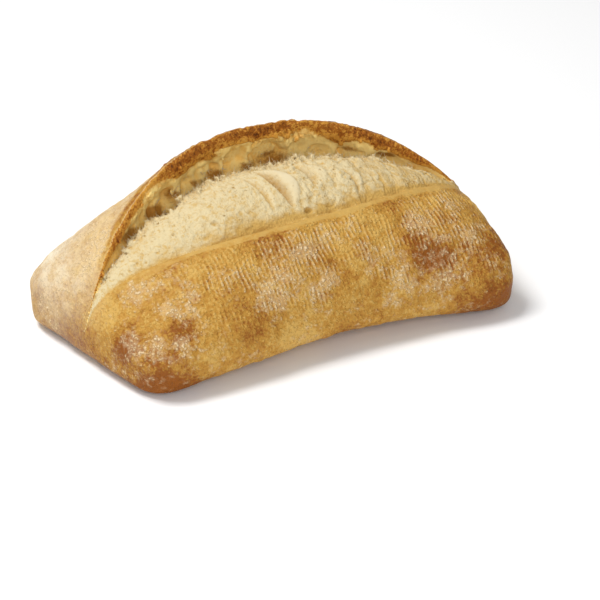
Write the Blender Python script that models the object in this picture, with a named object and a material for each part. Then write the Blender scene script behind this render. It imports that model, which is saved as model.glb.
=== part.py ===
"""A bolillo: a small white bread roll, baked with one long cut along its top.

The roll is one closed solid. Cross-sections stand along X from the left end to the right
end. Going round, each one has the sole, the front crust, the lip of the cut, the mound of
torn crumb, the crevice, the hollow inner face of the raised ear, its rough rim, and the
back crust. The front crust faces -Y, +Z is up, and the sole rests on z = 0.
"""
import math

import bmesh
import bpy
import numpy as np
from mathutils import Vector, noise

# Overall form, in metres. Triples are the left end, the middle and the right end.
LENGTH = 0.160
FRONT_REACH = (0.0442, 0.0414, 0.0550)
BACK_REACH = (0.0488, 0.0426, 0.0479)
BULGE_HEIGHT = 0.0118
END_SKEW = (0.152, -0.025)
SKEW_POWER = 3.0
END_SQUARENESS = 6.7
TOP_SQUARENESS = (2.4, 3.2)
TIP_HEIGHT = (0.0125, 0.0197)

# The sole: flat in the middle, drawn up under the front edge and towards both ends.
FOOT_INSET = 0.09
FOOT_LIFT = 0.0062
FLAT_ACROSS = 0.62
FLAT_ALONG = 0.60
FOOT_SQUARENESS = 6.0

# The front crust rises to the lip of the cut.
LIP_ACROSS = (-0.0036, -0.0177, -0.0072)
LIP_HEIGHT = (0.0416, 0.0434, 0.0442)
LIP_ROLL = 0.0014
FRONT_SQUARENESS = 1.43

# The cut, from end to end as shares of half the length, and the crumb that fills it.
CUT_ENDS = (-1.0, 0.99)
CUT_WIDTH = 0.0401
CUT_POWER = 2.0
CUT_LEAST = 0.01
MOUND_HEIGHT = 0.0078
MOUND_ROUNDNESS = 0.8
CRUMB_RISE = 0.0053
CREVICE_DEPTH = 0.0040
CREVICE_SHARE = 0.10
CREVICE_LEAN = 0.0009

# The ear: the edge of crust behind the cut, lifted by the oven.
EAR_HEIGHT = 0.0208
EAR_POWER = 2.66
EAR_PEAK = -0.03
EAR_HOLLOW = 0.0040
RIM_THICKNESS = 0.0052
BACK_SQUARENESS = (2.95, 1.21)

# The fold that splits the crumb into two lobes: its line across the crumb, and its size.
FOLD_START = (-0.0030, 0.72)
FOLD_END = (0.0040, 0.12)
FOLD_WIDTH = 0.0110
FOLD_DEPTH = 0.0030

# Hollows blown into the inner face of the ear: where along the roll, how wide, how deep.
EAR_BUBBLES = (
    (-0.040, 0.016, 0.0012),
    (-0.021, 0.010, 0.0016),
    (-0.007, 0.010, 0.0018),
    (0.007, 0.013, 0.0026),
    (0.023, 0.014, 0.0018),
    (0.039, 0.012, 0.0020),
    (0.053, 0.010, 0.0014),
)

# Unevenness of the baked surfaces, as depth and as spacing.
CRUST_WAVE = 0.0005
CRUST_WAVE_SPACING = 0.022
CRUMB_WAVE = 0.0009
CRUMB_WAVE_SPACING = 0.009
RIM_CRAG = 0.0009
RIM_CRAG_SPACING = 0.004

# Facets along the roll, and round each section.
STATIONS = 82
FACETS = {
    "front_foot": 4,
    "front": 13,
    "lip": 3,
    "crumb": 16,
    "inner": 9,
    "rim": 4,
    "back": 14,
    "back_foot": 3,
    "sole": 5,
}
CURVE_STEPS = 24
RIM_STEPS = 10
FINE_STEPS = 60
TYPICAL_RADIUS = 0.045

CRUST_COLOUR = (0.56, 0.33, 0.11, 1.0)
CRUST_ROUGHNESS = 0.72


def along(u, left_middle_right):
    """A size at share u of half the length, from its left, middle and right values."""
    left, middle, right = left_middle_right
    return middle + ((left if u < 0 else right) - middle) * u * u


def closing(share, squareness):
    """How much of the full size is left as a superellipse closes to its end."""
    return max(0.0, 1.0 - abs(share) ** squareness) ** (1.0 / squareness)


def quarter(start, stop, squareness, upright_first, steps=CURVE_STEPS):
    """A quarter superellipse in (y, z) that leaves start upright or level."""
    angle = np.linspace(0.0, math.pi / 2, steps)
    rise = np.sin(angle) ** (2 / squareness)
    fall = 1.0 - np.cos(angle) ** (2 / squareness)
    y_share, z_share = (fall, rise) if upright_first else (rise, fall)
    return np.column_stack([
        start[0] + (stop[0] - start[0]) * y_share,
        start[1] + (stop[1] - start[1]) * z_share,
    ])


def cut_at(u):
    """How far the cut is open, and how far the ear has risen, each from 0 to 1."""
    start, end = CUT_ENDS
    opening = min(1.0, abs(u - (start + end) / 2) / ((end - start) / 2))
    reach = end - EAR_PEAK if u > EAR_PEAK else EAR_PEAK - start
    rising = min(1.0, abs(u - EAR_PEAK) / reach)
    return max(CUT_LEAST, 1.0 - opening ** CUT_POWER), 1.0 - rising ** EAR_POWER


def crumb_line(start, rim_y, crevice, opened):
    """The mound of crumb, from the lip up towards the ear and down into the crevice."""
    share = np.linspace(0.0, 1.0, FINE_STEPS)
    level = start[1] + CRUMB_RISE * opened * share
    mound = MOUND_HEIGHT * opened * (4.0 * share * (1.0 - share)) ** MOUND_ROUNDNESS
    height = level + mound
    falling = np.clip((share - 1.0 + CREVICE_SHARE) / CREVICE_SHARE, 0.0, 1.0) ** 1.5
    height -= (level[-1] - crevice[1]) * falling
    return np.column_stack([start[0] + (crevice[0] - start[0]) * share, height])


def ear_line(crevice, top, opened):
    """The inner face of the ear, hollow between the crevice and the rim."""
    share = np.linspace(0.0, 1.0, FINE_STEPS)
    hollow = EAR_HOLLOW * opened * np.sin(math.pi * share)
    return np.column_stack([
        crevice[0] + (top[0] - crevice[0]) * share + hollow,
        crevice[1] + (top[1] - crevice[1]) * share,
    ])


def section(u):
    """The stretches of one cross-section as (name, points in y and z), in order."""
    opened, risen = cut_at(u)
    front_half = along(u, FRONT_REACH)
    back_half = along(u, BACK_REACH)
    lip = (along(u, LIP_ACROSS), along(u, LIP_HEIGHT))
    rim_y = lip[0] + CUT_WIDTH * opened
    rim_z = lip[1] + EAR_HEIGHT * risen
    lift = FOOT_LIFT * (1.0 - u * u)
    front_foot = (-front_half * (1.0 - FOOT_INSET), lift)
    back_foot = (back_half * (1.0 - FOOT_INSET), lift / 2)
    front_bulge = (-front_half, BULGE_HEIGHT)
    back_bulge = (back_half, BULGE_HEIGHT)
    roll = LIP_ROLL * min(1.0, opened * 3.0)
    crumb_start = (lip[0] + 1.6 * roll, lip[1] - roll)
    crevice = (rim_y - CREVICE_LEAN * opened, lip[1] - CREVICE_DEPTH * opened)
    rim_face = RIM_THICKNESS * min(1.0, opened * 2.5)
    rim_inside = (rim_y, rim_z - rim_face)
    rim_top = (rim_y + 0.4 * rim_face, rim_z)
    back_squareness = BACK_SQUARENESS[0] + (BACK_SQUARENESS[1] - BACK_SQUARENESS[0]) * risen
    sole = np.array([
        back_foot,
        (back_half * FLAT_ACROSS, 0.0),
        (-front_half * FLAT_ACROSS, 0.0),
        front_foot,
    ])
    return [
        ("front_foot", quarter(front_foot, front_bulge, 2.0, False)),
        ("front", quarter(front_bulge, lip, FRONT_SQUARENESS, True)),
        ("lip", quarter(lip, crumb_start, 2.0, False)),
        ("crumb", crumb_line(crumb_start, rim_y, crevice, opened)),
        ("inner", ear_line(crevice, rim_inside, opened)),
        ("rim", quarter(rim_inside, rim_top, 2.2, True, RIM_STEPS)),
        ("back", quarter(rim_top, back_bulge, back_squareness, False)),
        ("back_foot", quarter(back_bulge, back_foot, 2.0, True)),
        ("sole", sole),
    ]


def spaced(points, count):
    """Count points spaced evenly along a polyline, without its last end."""
    steps = np.hypot(*np.diff(points, axis=0).T)
    run = np.concatenate([[0.0], np.cumsum(steps)])
    at = np.linspace(0.0, run[-1], count + 1)[:-1]
    return np.column_stack([np.interp(at, run, points[:, axis]) for axis in (0, 1)])


def station_places():
    """Shares of half the length, spaced evenly over the surface from tip to tip."""
    angle = np.linspace(-math.pi / 2, math.pi / 2, 2001)
    share = np.sign(angle) * np.abs(np.sin(angle)) ** (2 / END_SQUARENESS)
    width = np.cos(angle).clip(0.0) ** (2 / END_SQUARENESS)
    steps = np.hypot(np.diff(share) * LENGTH / 2, np.diff(width) * TYPICAL_RADIUS)
    run = np.concatenate([[0.0], np.cumsum(steps)])
    return np.interp(np.linspace(0.0, run[-1], STATIONS), run, share)


def placed(u, outline):
    """The (y, z) outline of a section at share u, drawn in to the tip and set along X."""
    side = 0 if u < 0 else 1
    wide = closing(u, END_SQUARENESS)
    up = closing(u, TOP_SQUARENESS[side])
    beyond_flat = max(0.0, (abs(u) - FLAT_ALONG) / (1.0 - FLAT_ALONG))
    down = closing(beyond_flat, FOOT_SQUARENESS)
    tip = TIP_HEIGHT[0] + (TIP_HEIGHT[1] - TIP_HEIGHT[0]) * (u + 1.0) / 2
    y = wide * outline[:, 0]
    above = outline[:, 1] - tip
    z = tip + np.where(above > 0.0, up, down) * above
    x = u * LENGTH / 2 - END_SKEW[side] * abs(u) ** SKEW_POWER * y
    return np.column_stack([x, y, z])


def bump(offset, width):
    """A smooth bump of the given full width, 1 at its middle and 0 outside."""
    return math.cos(math.pi * min(0.5, abs(offset) / width)) ** 2


def fold_relief(x, share):
    """The fold in the crumb: a leaf-shaped valley, steep on its left side."""
    (x_start, share_start), (x_end, share_end) = FOLD_START, FOLD_END
    down = (share - share_start) / (share_end - share_start)
    if not 0.0 < down < 1.0:
        return 0.0
    offset = x - (x_start + (x_end - x_start) * down)
    leaf = math.sin(math.pi * down)
    width = FOLD_WIDTH * (0.4 + 0.6 * leaf)
    lobe = bump(offset + width * 0.45, width) * 0.4
    valley = bump(offset - width * 0.25, width)
    return FOLD_DEPTH * leaf * (lobe - valley)


def relief(name, share, point, opened):
    """How far a point stands out from the smooth form, along its normal."""
    x = point.x
    if name == "sole":
        return 0.0
    if name == "crumb":
        wave = CRUMB_WAVE * noise.noise(point / CRUMB_WAVE_SPACING)
        edge = math.sin(math.pi * share)
        return edge * opened * wave + fold_relief(x, share)
    if name == "inner":
        depth = sum(deep * bump(x - at, wide) for at, wide, deep in EAR_BUBBLES)
        return -depth * math.sin(math.pi * share)
    if name == "rim":
        return RIM_CRAG * opened * noise.noise(point / RIM_CRAG_SPACING)
    return CRUST_WAVE * noise.noise(point / CRUST_WAVE_SPACING)


def build_roll():
    """The whole roll as one closed mesh object."""
    mesh = bmesh.new()
    rings = []
    facts = []
    for u in station_places()[1:-1]:
        opened, _ = cut_at(u)
        stretches = section(u)
        outline = np.concatenate([spaced(line, FACETS[name]) for name, line in stretches])
        rings.append([mesh.verts.new(point) for point in placed(u, outline)])
        for name, _ in stretches:
            facts += [(name, step / FACETS[name], opened) for step in range(FACETS[name])]
    for ring, following in zip(rings, rings[1:]):
        for here in range(len(ring)):
            there = (here + 1) % len(ring)
            mesh.faces.new((ring[here], following[here], following[there], ring[there]))
    for u, ring in ((-1.0, rings[0]), (1.0, rings[-1])):
        side = 0 if u < 0 else 1
        tip = mesh.verts.new((u * LENGTH / 2, 0.0, TIP_HEIGHT[side]))
        for here in range(len(ring)):
            pair = (ring[here], ring[(here + 1) % len(ring)])
            mesh.faces.new((tip, *pair) if side == 0 else (tip, *reversed(pair)))
    bmesh.ops.recalc_face_normals(mesh, faces=mesh.faces)
    mesh.normal_update()
    moves = []
    for vertex, (name, share, opened) in zip(mesh.verts, facts):
        moves.append(vertex.normal * relief(name, share, vertex.co, opened))
    for vertex, move in zip(mesh.verts, moves):
        vertex.co += move
    centre_on_sole(mesh)

    data = bpy.data.meshes.new("bolillo_roll")
    mesh.to_mesh(data)
    mesh.free()
    data.shade_smooth()
    roll = bpy.data.objects.new("bolillo_roll", data)
    bpy.context.scene.collection.objects.link(roll)
    return roll


def centre_on_sole(mesh):
    """Moves the mesh so that its box is centred over the origin with the sole at z = 0."""
    corners = np.array([vertex.co for vertex in mesh.verts])
    low, high = corners.min(axis=0), corners.max(axis=0)
    shift = Vector((-(low[0] + high[0]) / 2, -(low[1] + high[1]) / 2, -low[2]))
    bmesh.ops.translate(mesh, verts=mesh.verts, vec=shift)


def crust_material():
    """Baked crust: golden tan and dull."""
    material = bpy.data.materials.new("crust")
    material.use_nodes = True
    shader = material.node_tree.nodes["Principled BSDF"]
    shader.inputs["Base Color"].default_value = CRUST_COLOUR
    shader.inputs["Roughness"].default_value = CRUST_ROUGHNESS
    shader.inputs["Metallic"].default_value = 0.0
    return material


def main():
    for leftover in list(bpy.data.objects):
        bpy.data.objects.remove(leftover)
    roll = build_roll()
    roll.data.materials.append(crust_material())


main()
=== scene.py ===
"""A bolillo roll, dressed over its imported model.

The smooth roll is rebuilt from its cross-sections, filled as a block of small cells, and
carved there: pores and tears in the crumb, bubbles in the ear, cracks in the rim, fine
ridges round the crust. The block's surface is then cut into pieces by what they are made of.
"""
import math

import bpy
import numpy as np
import openvdb
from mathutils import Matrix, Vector, kdtree


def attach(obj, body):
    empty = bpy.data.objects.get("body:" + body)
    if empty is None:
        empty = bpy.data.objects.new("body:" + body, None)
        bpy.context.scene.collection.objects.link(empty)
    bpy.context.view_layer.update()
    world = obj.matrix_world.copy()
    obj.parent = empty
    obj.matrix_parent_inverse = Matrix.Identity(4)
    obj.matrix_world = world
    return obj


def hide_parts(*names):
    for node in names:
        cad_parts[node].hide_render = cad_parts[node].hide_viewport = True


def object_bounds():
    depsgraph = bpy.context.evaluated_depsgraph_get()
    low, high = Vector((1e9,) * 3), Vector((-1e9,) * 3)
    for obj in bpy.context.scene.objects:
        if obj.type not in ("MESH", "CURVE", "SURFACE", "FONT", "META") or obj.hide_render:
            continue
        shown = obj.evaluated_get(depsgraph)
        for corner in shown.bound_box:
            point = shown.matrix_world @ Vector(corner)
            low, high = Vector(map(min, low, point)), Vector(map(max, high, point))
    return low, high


bl_info = {
    "name": "Bolillo Roll",
    "version": (1, 0, 0),
    "blender": (4, 5, 0),
    "location": "View3D > Sidebar > Bolillo",
    "description": "Builds a crusty bolillo roll with torn crumb and a raised ear",
    "category": "Add Mesh",
}

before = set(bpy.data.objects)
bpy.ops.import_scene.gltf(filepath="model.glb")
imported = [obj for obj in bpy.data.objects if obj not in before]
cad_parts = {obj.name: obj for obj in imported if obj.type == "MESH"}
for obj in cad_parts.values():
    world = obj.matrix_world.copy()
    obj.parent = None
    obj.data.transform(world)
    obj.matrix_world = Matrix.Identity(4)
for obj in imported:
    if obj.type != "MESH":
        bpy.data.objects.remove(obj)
CAD_LOW, CAD_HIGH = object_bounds()
MM = 0.001

# Cross-sections, in metres. Triples are the left end, the middle and the right end.
FRONT_REACH = (0.0442, 0.0414, 0.0550)
BACK_REACH = (0.0488, 0.0426, 0.0479)
BULGE_HEIGHT = 0.0118
END_SKEW = (0.152, -0.025)
SKEW_POWER = 3.0
END_SQUARENESS = 6.7
TOP_SQUARENESS = (2.4, 3.2)
TIP_HEIGHT = (0.0125, 0.0197)
FOOT_INSET = 0.09
FOOT_LIFT = 0.0062
FLAT_ACROSS = 0.62
FLAT_ALONG = 0.60
FOOT_SQUARENESS = 6.0
LIP_ACROSS = (-0.0036, -0.0177, -0.0072)
LIP_HEIGHT = (0.0416, 0.0434, 0.0442)
LIP_ROLL = 0.0014
FRONT_SQUARENESS = 1.43
CUT_ENDS = (-1.0, 0.99)
CUT_POWER = 2.0
CUT_LEAST = 0.01
MOUND_ROUNDNESS = 0.8
CRUMB_RISE = 0.0053
CREVICE_DEPTH = 0.0040
CREVICE_SHARE = 0.10
CREVICE_LEAN = 0.0009
EAR_POWER = 2.66
EAR_PEAK = -0.03
EAR_HOLLOW = 0.0040
RIM_THICKNESS = 0.0052
BACK_SQUARENESS = (2.95, 1.21)
TYPICAL_RADIUS = 0.045

# The photograph's frame: its side, the pixel where the roll's middle lies, and its scale.
PICTURE_SIZE = 600
TARGET_PIXEL = (277.7, 248.2)
TARGET_HEIGHT = 0.025
PIXELS_PER_METRE = 2719.0
SENSOR_WIDTH = 36.0

# The studio: each light's name, place, size and power, and the point they aim at.
FLOOR_SIZE = 6.0
WORLD_STRENGTH = 0.34
LIGHTS = (
    ("key", (-0.32, 0.34, 1.0), 0.45, 9.6),
    ("fill", (-0.43, -0.95, 0.54), 0.6, 5.6),
)
LIGHT_TARGET = (0.0, 0.0, 0.03)

# Samples of the smooth skin: along the roll, and round each stretch of a section.
STATIONS = 300
SAMPLES = {
    "front_foot": 10,
    "front": 60,
    "lip": 6,
    "crumb": 64,
    "inner": 36,
    "rim": 14,
    "back": 60,
    "back_foot": 10,
    "sole": 30,
}
NAMES = list(SAMPLES)
BAND_CELLS = 11
EDGE_CELLS = 6
SMOOTHING_REACH = 0.0016
LEAST_WALL = 0.0017
FACING_CRUMB = 0.25

# Where the shreds end towards the right, the smooth leaf of crumb that has no pores, and the
# depth in millimetres of a fold whose tongue is all membrane.
SHREDS_END = 0.060
LEAF_MIDDLE = -0.001
LEAF_REACH = 0.009
DEEPEST_FOLD = 1.9

# Pores scattered over the crumb: least and greatest radius in millimetres, and how many.
PORES = ((0.3, 0.5, 300), (0.5, 0.7, 10))

# Bubbles in the ear: along the roll, share of the way up the face, half width, half height,
# and how deep they reach into the ear. In millimetres but for the share.
EAR_BUBBLES = (
    (-65, 0.45, 4.6, 4.0, 1.3), (-56, 0.52, 5.0, 5.0, 1.3), (-46, 0.48, 6.0, 6.0, 1.4),
    (-35, 0.55, 6.2, 7.0, 1.6), (-23, 0.48, 7.0, 7.0, 1.6), (-12, 0.6, 5.0, 6.0, 1.6),
    (-3.2, 0.6, 5.2, 8.0, 3.0), (11.0, 0.5, 8.0, 9.0, 4.6), (26.5, 0.58, 8.2, 7.5, 2.0),
    (40, 0.5, 6.0, 6.0, 2.6), (51, 0.5, 5.4, 4.6, 2.4), (60, 0.45, 4.6, 3.6, 1.8),
)

# Dark holes where the crumb tore from the ear: along the roll, share of the way up the face,
# half length, half height, and how deep they reach. In millimetres but for the share.
TEAR_HOLES = (
    (-71, 0.3, 2.6, 2.5, 1.4), (-65, 0.3, 2.8, 2.6, 1.6), (-58.5, 0.34, 2.8, 3.0, 2.0),
    (-52, 0.38, 3.2, 3.4, 2.4), (-42, 0.42, 3.0, 3.4, 2.4), (-34, 0.44, 3.6, 3.8, 3.4),
    (-25, 0.46, 2.4, 3.4, 2.2), (-12, 0.48, 3.0, 3.6, 3.4), (-4.4, 0.5, 2.2, 3.6, 3.0),
    (12.5, 0.54, 5.2, 4.6, 5.2), (30.6, 0.5, 4.6, 3.2, 2.6), (39, 0.46, 2.6, 3.0, 2.2),
    (55, 0.42, 4.6, 3.0, 2.8), (63, 0.4, 3.0, 2.4, 2.0),
)

# Folds torn in the crumb: start and end in x and y, how far they bow, how wide the tongue
# beside the crease is, how deep the crease goes. In millimetres.
CRUMB_FOLDS = (
    (-4.6, 11.5, 0.4, -11.4, -0.6, 9.6, 1.9), (-11.5, 9.0, -8.0, -12.5, 1.4, 3.6, 0.8),
    (10.5, 9.5, 11.6, -7.0, 2.0, 8.0, 0.9), (23.0, 3.5, 28.2, -10.4, 2.6, 4.4, 0.8),
    (35.5, 0.0, 37.0, -8.0, 0.8, 3.4, 0.5), (30.0, 11.0, 31.0, 4.5, 1.6, 4.0, 0.5),
    (45.0, 5.0, 50.0, -2.5, 1.2, 3.0, 0.5), (-32.5, -5.0, -29.0, -11.0, 0.8, 3.0, 0.4),
)

# Dents where the crumb pulled away from the ear, and its larger pores: along the roll, share
# of the way over the mound, half length, half width and depth. In millimetres but for the share.
CRUMB_DENTS = (
    (5.3, 0.07, 1.5, 1.1, 1.0), (-35.3, 0.1, 1.3, 1.0, 0.9), (-30.5, 0.2, 1.0, 0.8, 0.8),
    (-9.0, 0.93, 9.0, 6.0, 2.4), (-38.5, 0.78, 6.5, 5.5, 3.4), (36.0, 0.95, 8.0, 4.0, 1.6),
)


def along(u, left_middle_right):
    """A size at share u of half the length, from its left, middle and right values."""
    left, middle, right = left_middle_right
    return middle + ((left if u < 0 else right) - middle) * u * u


def closing(share, squareness):
    """How much of the full size is left as a superellipse closes to its end."""
    return max(0.0, 1.0 - abs(share) ** squareness) ** (1.0 / squareness)


def quarter(start, stop, squareness, upright_first, steps=30):
    """A quarter superellipse in (y, z) that leaves start upright or level."""
    angle = np.linspace(0.0, math.pi / 2, steps)
    rise = np.sin(angle) ** (2 / squareness)
    fall = 1.0 - np.cos(angle) ** (2 / squareness)
    y_share, z_share = (fall, rise) if upright_first else (rise, fall)
    return np.column_stack([
        start[0] + (stop[0] - start[0]) * y_share,
        start[1] + (stop[1] - start[1]) * z_share,
    ])


def cut_at(u):
    """How far the cut is open, and how far the ear has risen, each from 0 to 1."""
    start, end = CUT_ENDS
    opening = min(1.0, abs(u - (start + end) / 2) / ((end - start) / 2))
    reach = end - EAR_PEAK if u > EAR_PEAK else EAR_PEAK - start
    rising = min(1.0, abs(u - EAR_PEAK) / reach)
    return max(CUT_LEAST, 1.0 - opening ** CUT_POWER), 1.0 - rising ** EAR_POWER


def crumb_line(start, crevice, opened, mound_height, steps=90):
    """The mound of crumb, from the lip up towards the ear and down into the crevice."""
    share = np.linspace(0.0, 1.0, steps)
    level = start[1] + CRUMB_RISE * opened * share
    height = level + mound_height * opened * (4.0 * share * (1.0 - share)) ** MOUND_ROUNDNESS
    falling = np.clip((share - 1.0 + CREVICE_SHARE) / CREVICE_SHARE, 0.0, 1.0) ** 1.5
    height -= (level[-1] - crevice[1]) * falling
    return np.column_stack([start[0] + (crevice[0] - start[0]) * share, height])


def ear_line(crevice, top, opened, steps=60):
    """The inner face of the ear, hollow between the crevice and the rim."""
    share = np.linspace(0.0, 1.0, steps)
    hollow = EAR_HOLLOW * opened * np.sin(math.pi * share)
    return np.column_stack([
        crevice[0] + (top[0] - crevice[0]) * share + hollow,
        crevice[1] + (top[1] - crevice[1]) * share,
    ])


def section(u, form):
    """The stretches of one cross-section, each as points in y and z, in order."""
    opened, risen = cut_at(u)
    front_half = along(u, FRONT_REACH)
    back_half = along(u, BACK_REACH)
    lip = (along(u, LIP_ACROSS), along(u, LIP_HEIGHT))
    rim_y = lip[0] + form.cut_width * opened
    rim_z = lip[1] + form.ear_height * risen
    lift = FOOT_LIFT * (1.0 - u * u)
    front_foot = (-front_half * (1.0 - FOOT_INSET), lift)
    back_foot = (back_half * (1.0 - FOOT_INSET), lift / 2)
    roll = LIP_ROLL * min(1.0, opened * 3.0)
    crumb_start = (lip[0] + 1.6 * roll, lip[1] - roll)
    crevice = (rim_y - CREVICE_LEAN * opened, lip[1] - CREVICE_DEPTH * opened)
    rim_face = RIM_THICKNESS * min(1.0, opened * 2.5)
    rim_inside = (rim_y, rim_z - rim_face)
    rim_top = (rim_y + 0.4 * rim_face, rim_z)
    back_squareness = BACK_SQUARENESS[0] + (BACK_SQUARENESS[1] - BACK_SQUARENESS[0]) * risen
    sole = [
        back_foot,
        (back_half * FLAT_ACROSS, 0.0),
        (-front_half * FLAT_ACROSS, 0.0),
        front_foot,
    ]
    return {
        "front_foot": quarter(front_foot, (-front_half, BULGE_HEIGHT), 2.0, False),
        "front": quarter((-front_half, BULGE_HEIGHT), lip, FRONT_SQUARENESS, True),
        "lip": quarter(lip, crumb_start, 2.0, False),
        "crumb": crumb_line(crumb_start, crevice, opened, form.mound_height),
        "inner": ear_line(crevice, rim_inside, opened),
        "rim": quarter(rim_inside, rim_top, 2.2, True),
        "back": quarter(rim_top, (back_half, BULGE_HEIGHT), back_squareness, False),
        "back_foot": quarter((back_half, BULGE_HEIGHT), back_foot, 2.0, True),
        "sole": np.array(sole),
    }


def spaced(points, count):
    """Count points spaced evenly along a polyline, without its last end."""
    steps = np.hypot(*np.diff(points, axis=0).T)
    run = np.concatenate([[0.0], np.cumsum(steps)])
    at = np.linspace(0.0, run[-1], count + 1)[:-1]
    return np.column_stack([np.interp(at, run, points[:, axis]) for axis in (0, 1)])


def smooth_skin(form):
    """The smooth roll as a grid of points, station by station, before it is centred."""
    angle = np.linspace(-math.pi / 2, math.pi / 2, 2001)
    share = np.sign(angle) * np.abs(np.sin(angle)) ** (2 / END_SQUARENESS)
    width = np.cos(angle).clip(0.0) ** (2 / END_SQUARENESS)
    steps = np.hypot(np.diff(share) * form.length / 2, np.diff(width) * TYPICAL_RADIUS)
    run = np.concatenate([[0.0], np.cumsum(steps)])
    rows = []
    for u in np.interp(np.linspace(0.0, run[-1], STATIONS), run, share):
        outline = np.concatenate([spaced(line, SAMPLES[name])
                                  for name, line in section(u, form).items()])
        side = 0 if u < 0 else 1
        beyond_flat = max(0.0, (abs(u) - FLAT_ALONG) / (1.0 - FLAT_ALONG))
        up = closing(u, TOP_SQUARENESS[side])
        down = closing(beyond_flat, FOOT_SQUARENESS)
        tip = TIP_HEIGHT[0] + (TIP_HEIGHT[1] - TIP_HEIGHT[0]) * (u + 1.0) / 2
        y = closing(u, END_SQUARENESS) * outline[:, 0]
        above = outline[:, 1] - tip
        x = u * form.length / 2 - END_SKEW[side] * abs(u) ** SKEW_POWER * y
        rows.append(np.column_stack([x, y, tip + np.where(above > 0.0, up, down) * above]))
    return np.array(rows)


def first_of(name):
    """The first sample of a stretch, counted round the section."""
    return sum(SAMPLES[n] for n in NAMES[: NAMES.index(name)])


def ramp(values, start, stop):
    """0 before start, 1 after stop, and smooth between."""
    share = np.clip((values - start) / (stop - start), 0.0, 1.0)
    return share * share * (3.0 - 2.0 * share)


def drawn_out(values, axis, count, spacing, offset):
    """A lattice of values drawn out to count cells along one axis, by a cubic spline."""
    at = np.arange(count) / spacing + offset
    base = np.floor(at).astype(int)
    t = (at - base).astype(np.float32)
    parts = (
        (1 - t) ** 3 / 6,
        (3 * t ** 3 - 6 * t ** 2 + 4) / 6,
        (-3 * t ** 3 + 3 * t ** 2 + 3 * t + 1) / 6,
        t ** 3 / 6,
    )
    shape = [1] * values.ndim
    shape[axis] = count
    total = 0.0
    for step, part in enumerate(parts):
        taken = np.take(values, base + step, axis=axis)
        taken *= part.reshape(shape)
        total = taken if step == 0 else np.add(total, taken, out=total)
    return total


def lattice_noise(counts, spacing, seed):
    """Smooth noise of about unit height over two or three axes, spacing counted in cells."""
    lattice = [int(count / space) + 5 for count, space in zip(counts, spacing)]
    random = np.random.default_rng(seed)
    values = random.uniform(-1.0, 1.0, lattice).astype(np.float32)
    for axis in reversed(range(len(counts))):
        values = drawn_out(values, axis, counts[axis], spacing[axis], random.random())
    values /= values.ravel()[::7].std()
    return values


class Block:
    """A box of cells that holds the distance to the roll's surface, inside it negative."""

    def __init__(self, skin, cell):
        self.cell = cell
        rows, around = skin.shape[:2]
        here = np.arange(rows * around).reshape(rows, around)
        beside = np.roll(here, -1, axis=1)
        quads = np.stack([here[:-1], here[1:], beside[1:], beside[:-1]], -1).reshape(-1, 4)
        filled = openvdb.FloatGrid.createLevelSetFromPolygons(
            skin.reshape(-1, 3).astype(np.float32),
            quads=quads.astype(np.uint32),
            transform=openvdb.createLinearTransform(voxelSize=cell),
            halfWidth=BAND_CELLS,
        )
        low, high = filled.evalActiveVoxelBoundingBox()
        self.low = tuple(value - EDGE_CELLS for value in low)
        shape = tuple(b - a + 1 + 2 * EDGE_CELLS for a, b in zip(low, high))
        self.depth = np.full(shape, BAND_CELLS * cell, np.float32)
        filled.copyToArray(self.depth, ijk=self.low)
        self.axes = [(np.arange(n) + start) * cell for n, start in zip(shape, self.low)]
        self.corners = [axis[0] for axis in self.axes], [axis[-1] + cell for axis in self.axes]

    def window(self, low, high):
        """Slices of the cells between two corners, and the places of those cells."""
        cuts = []
        for axis, a, b in zip(self.axes, low, high):
            start = int(np.searchsorted(axis, a))
            stop = int(np.searchsorted(axis, b))
            cuts.append(slice(start, max(stop, start + 1)))
        x, y, z = (axis[cut].astype(np.float32) for axis, cut in zip(self.axes, cuts))
        return tuple(cuts), (x[:, None, None], y[None, :, None], z[None, None, :])

    def slab(self, front, behind, above):
        """The window over the roll's length, from a y to a y and above a z, in millimetres."""
        return self.window((self.axes[0][0], front * MM, above * MM),
                           (self.axes[0][-1], behind * MM, self.axes[2][-1]))

    def noise(self, spacing, seed, cuts=None):
        """Smooth noise of about unit height, its spacing in millimetres, one or three."""
        cuts = cuts or self.window(*self.corners)[0]
        spacing = np.asarray(spacing, float) * MM / self.cell
        return lattice_noise([cut.stop - cut.start for cut in cuts],
                             np.broadcast_to(spacing, 3), seed)

    def layers(self, rows, cuts=None, right=0.0):
        """A sum of noises: spacing, seed, height, and how much higher on the right."""
        return sum(self.noise(spacing, seed, cuts) * (height + more * right) * MM
                   for spacing, seed, height, more in rows)

    def dig(self, centre, radii, sharpness=0.0):
        """Takes an ellipsoid out of the roll."""
        centre, radii = np.asarray(centre), np.asarray(radii)
        cuts, (x, y, z) = self.window(centre - radii * 1.7, centre + radii * 1.7)
        reach = np.sqrt(((x - centre[0]) / radii[0]) ** 2 + ((y - centre[1]) / radii[1]) ** 2
                        + ((z - centre[2]) / radii[2]) ** 2)
        inside = (1.0 - reach) * radii.min()
        part = self.depth[cuts]
        if sharpness:
            blend = np.clip(sharpness - np.abs(part - inside), 0.0, None) / sharpness
            np.maximum(part, inside, out=part)
            part += blend * blend * sharpness / 4
        else:
            np.maximum(part, inside, out=part)

    def surface(self):
        """Points and outward quads where the depth is zero."""
        grid = openvdb.FloatGrid(BAND_CELLS * self.cell)
        grid.transform = openvdb.createLinearTransform(voxelSize=self.cell)
        grid.gridClass = openvdb.GridClass.LEVEL_SET
        grid.copyFromArray(np.ascontiguousarray(self.depth), ijk=self.low, tolerance=0.0)
        points, quads = grid.convertToQuads(0.0)
        return points.astype(np.float64), quads[:, ::-1].astype(np.int64)


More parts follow.
